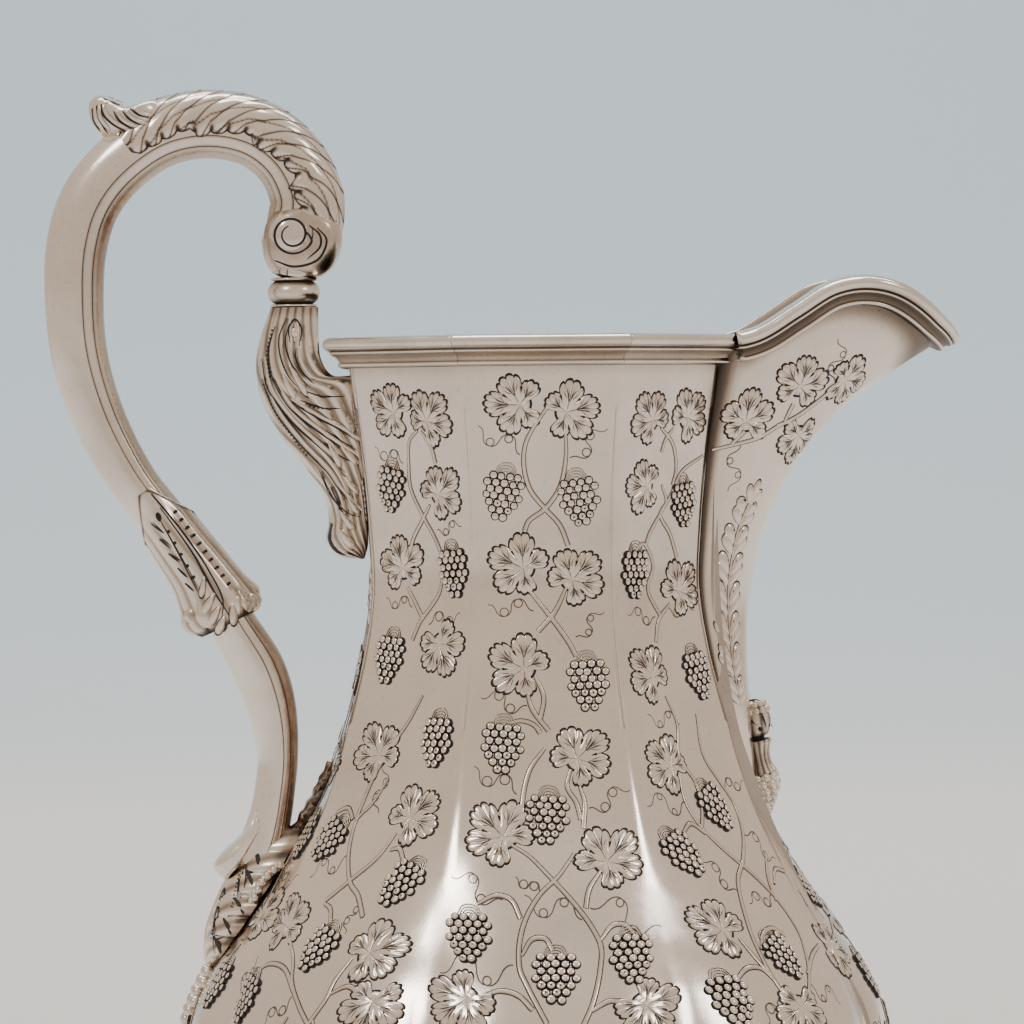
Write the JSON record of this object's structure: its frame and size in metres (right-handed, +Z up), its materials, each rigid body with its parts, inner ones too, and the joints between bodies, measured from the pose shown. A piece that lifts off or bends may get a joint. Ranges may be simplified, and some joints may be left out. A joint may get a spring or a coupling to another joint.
{
  "type": "water pitcher",
  "caption": "Lidless silver water pitcher with an octagonal pear body chased with grapevine, an arched spout, an acanthus scroll handle and a spreading foot.",
  "frame": {"origin": "centre of the foot's resting plane", "axes": "+Z up, +X towards the spout, so the handle is on -X and +Y is across the pitcher"},
  "size_m": [0.2284, 0.175, 0.3154],
  "materials": {
    "chased_silver": "polished, with dark chased lines",
    "moulded_silver": "polished, tarnished in the hollows",
    "plain_cast_silver": "polished, lightly scratched",
    "leaf_cast_silver": "satin, tarnished in the hollows"
  },
  "bodies": {
    "root": {"body_bottom": "chased_silver", "body_shell": "chased_silver", "foot_collar": "moulded_silver", "foot_dome": "chased_silver", "foot_rim": "moulded_silver", "handle_bracket": "leaf_cast_silver", "handle_branch_leaf": "leaf_cast_silver", "handle_knop": "plain_cast_silver", "handle_knop_lower_plate": "plain_cast_silver", "handle_knop_upper_plate": "plain_cast_silver", "handle_lower_grapes": "leaf_cast_silver", "handle_lower_leaf": "leaf_cast_silver", "handle_lower_scroll_left": "plain_cast_silver", "handle_lower_scroll_right": "plain_cast_silver", "handle_mid_clasp": "leaf_cast_silver", "handle_top_leaf": "leaf_cast_silver", "handle_upper_scroll_left": "plain_cast_silver", "handle_upper_scroll_right": "plain_cast_silver", "handle_volute_left": "leaf_cast_silver", "handle_volute_right": "leaf_cast_silver", "neck_rim_moulding": "moulded_silver", "spout_calyx": "leaf_cast_silver", "spout_fluted_collar": "leaf_cast_silver", "spout_grape_drop": "leaf_cast_silver", "spout_rim_moulding": "moulded_silver", "spout_shell": "chased_silver"}
  },
  "joints": []
}
